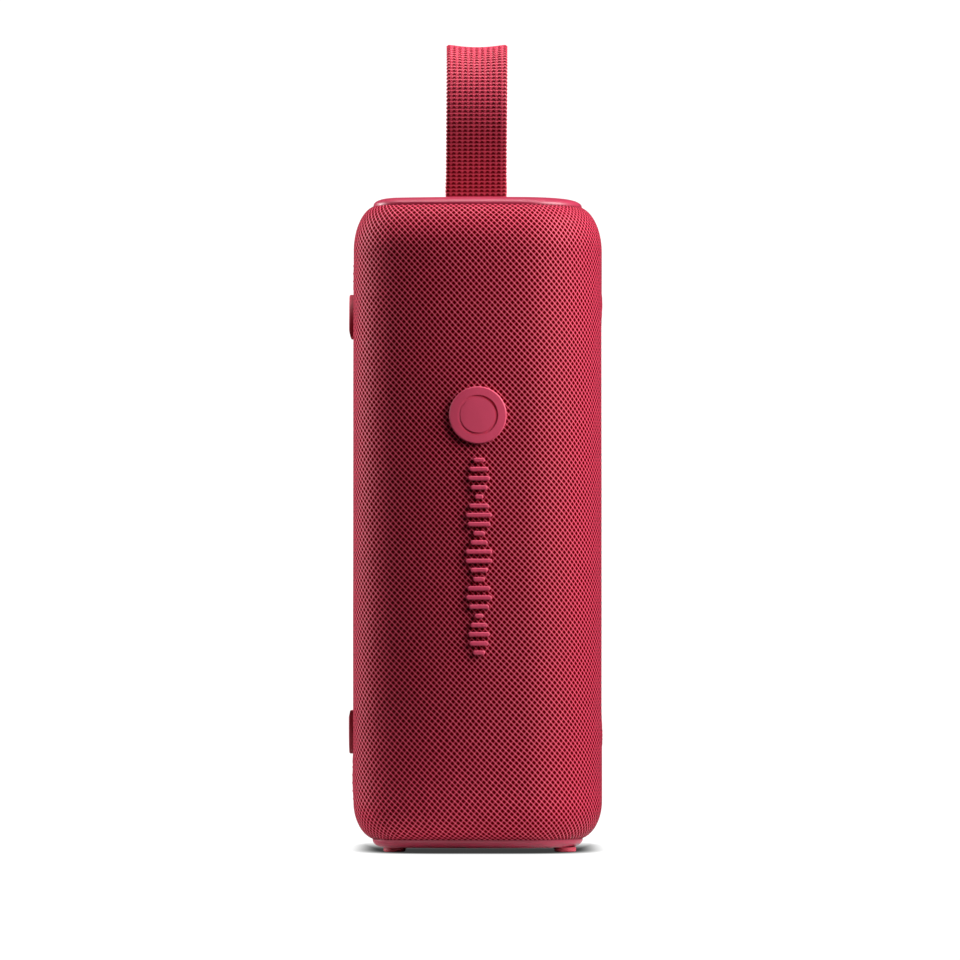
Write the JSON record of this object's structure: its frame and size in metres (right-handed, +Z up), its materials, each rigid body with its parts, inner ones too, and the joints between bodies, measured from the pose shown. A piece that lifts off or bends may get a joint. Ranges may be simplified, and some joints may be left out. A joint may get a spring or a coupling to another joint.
{
  "type": "portable speaker",
  "caption": "Upright portable party speaker: woven fabric sleeve on a rounded body, webbing carry loop on top, button strip on one side, rubber-footed strip on the other.",
  "frame": {"origin": "centre of the base, on the ground under the body's axis", "axes": "+Z up along the body, -Y out of the front face with the badge, +X towards the button strip"},
  "size_m": [0.0833, 0.073, 0.267],
  "materials": {
    "badge_rubber": "matte, dusky red",
    "brass": "turned",
    "button_rubber": "matte, with raised icons",
    "cap_plastic": "satin moulded, crimson",
    "cell_wrap": "shrink wrap over steel",
    "circuit_board": "green solder resist",
    "component_plastic": "moulded packages",
    "cone_paper": "pressed cone",
    "dark_plastic": "black moulded",
    "foot_rubber": "matte, dusky red",
    "inlay_plastic": "fine-textured, crimson",
    "lead_insulation": "flexible insulation",
    "light_pipe": "milky clear",
    "magnet_steel": "zinc-plated black",
    "seal_rubber": "black",
    "sleeve_fabric": "woven polyester, crimson",
    "steel": "plated",
    "strap_webbing": "ribbed polyester webbing, crimson",
    "strip_rubber": "matte, dusky red"
  },
  "bodies": {
    "root": {"antenna": "lead_insulation", "badge_bars": "badge_rubber", "badge_disc": "badge_rubber", "base_cap": "cap_plastic", "base_feet": "foot_rubber", "base_strip": "strip_rubber", "battery_cells": "cell_wrap", "battery_holder": "dark_plastic", "battery_lead": "lead_insulation", "board_components": "component_plastic", "board_screws": "steel", "board_standoffs": "brass", "button_board": "circuit_board", "button_switches": "steel", "cap_screws": "steel", "control_panel": "strip_rubber", "fabric_sleeve": "sleeve_fabric", "front_grille_core": "dark_plastic", "front_housing": "dark_plastic", "housing_gasket": "seal_rubber", "housing_screws": "steel", "main_board": "circuit_board", "microphone": "steel", "port_hinge_pin": "steel", "port_seal": "seal_rubber", "radiator_frames": "dark_plastic", "radiator_surrounds": "seal_rubber", "rear_grille_core": "dark_plastic", "rear_housing": "dark_plastic", "ribbon_cable": "lead_insulation", "side_feet": "foot_rubber", "status_lights": "light_pipe", "strap_pin": "steel", "strap_tab": "strap_webbing", "top_cap": "cap_plastic", "top_inlay": "inlay_plastic", "tweeter_frame": "dark_plastic", "tweeter_lead": "lead_insulation", "tweeter_magnet": "magnet_steel", "tweeter_suspension": "seal_rubber", "usb_board": "circuit_board", "usb_lead": "lead_insulation", "usb_socket": "steel", "woofer_basket": "dark_plastic", "woofer_lead": "lead_insulation", "woofer_magnet": "magnet_steel", "woofer_surround": "seal_rubber"},
    "strap": {"strap_loop": "strap_webbing"},
    "power_button": {"power_button": "button_rubber"},
    "pair_button": {"pair_button": "button_rubber"},
    "volume_down_button": {"volume_down_button": "button_rubber"},
    "play_button": {"play_button": "button_rubber"},
    "volume_up_button": {"volume_up_button": "button_rubber"},
    "boost_button": {"boost_button": "button_rubber"},
    "port_door": {"port_door": "strip_rubber"},
    "woofer_cone": {"woofer_cone": "cone_paper"},
    "tweeter_dome": {"tweeter_dome": "cone_paper"},
    "lower_radiator_plate": {"lower_radiator_plate": "cone_paper"},
    "upper_radiator_plate": {"upper_radiator_plate": "cone_paper"}
  },
  "joints": [
    {"name": "strap_swing", "type": "hinge", "parent": "root", "child": "strap", "pos_m": [-0.00045, 0, 0.2146], "axis": [1, 0, 0], "range_deg": [-32, 67], "stiffness_Nm_per_rad": 0.006},
    {"name": "power_press", "type": "slide", "parent": "root", "child": "power_button", "axis": [-1, 0, 0], "range_m": [0, 0.0005], "stiffness_N_per_m": 1500},
    {"name": "pair_press", "type": "slide", "parent": "root", "child": "pair_button", "axis": [-1, 0, 0], "range_m": [0, 0.0005], "stiffness_N_per_m": 1500},
    {"name": "volume_down_press", "type": "slide", "parent": "root", "child": "volume_down_button", "axis": [-1, 0, 0], "range_m": [0, 0.0005], "stiffness_N_per_m": 1500},
    {"name": "play_press", "type": "slide", "parent": "root", "child": "play_button", "axis": [-1, 0, 0], "range_m": [0, 0.0005], "stiffness_N_per_m": 1500},
    {"name": "volume_up_press", "type": "slide", "parent": "root", "child": "volume_up_button", "axis": [-1, 0, 0], "range_m": [0, 0.0005], "stiffness_N_per_m": 1500},
    {"name": "boost_press", "type": "slide", "parent": "root", "child": "boost_button", "axis": [-1, 0, 0], "range_m": [0, 0.0005], "stiffness_N_per_m": 1500},
    {"name": "port_door_swing", "type": "hinge", "parent": "root", "child": "port_door", "pos_m": [-0.0392, 0, 0.09835], "axis": [0, -1, 0], "range_deg": [0, 100]},
    {"name": "woofer_travel", "type": "slide", "parent": "root", "child": "woofer_cone", "axis": [0, -1, 0], "range_m": [-0.002, 0.002], "stiffness_N_per_m": 1800, "deforming": ["woofer_surround"]},
    {"name": "tweeter_travel", "type": "slide", "parent": "root", "child": "tweeter_dome", "axis": [0, -1, 0], "range_m": [-0.0003, 0.0003], "stiffness_N_per_m": 2500, "deforming": ["tweeter_suspension"]},
    {"name": "lower_radiator_travel", "type": "slide", "parent": "root", "child": "lower_radiator_plate", "axis": [0, 1, 0], "range_m": [-0.003, 0.003], "stiffness_N_per_m": 900, "deforming": ["radiator_surrounds"]},
    {"name": "upper_radiator_travel", "type": "slide", "parent": "root", "child": "upper_radiator_plate", "axis": [0, 1, 0], "range_m": [-0.003, 0.003], "stiffness_N_per_m": 900, "deforming": ["radiator_surrounds"]}
  ]
}
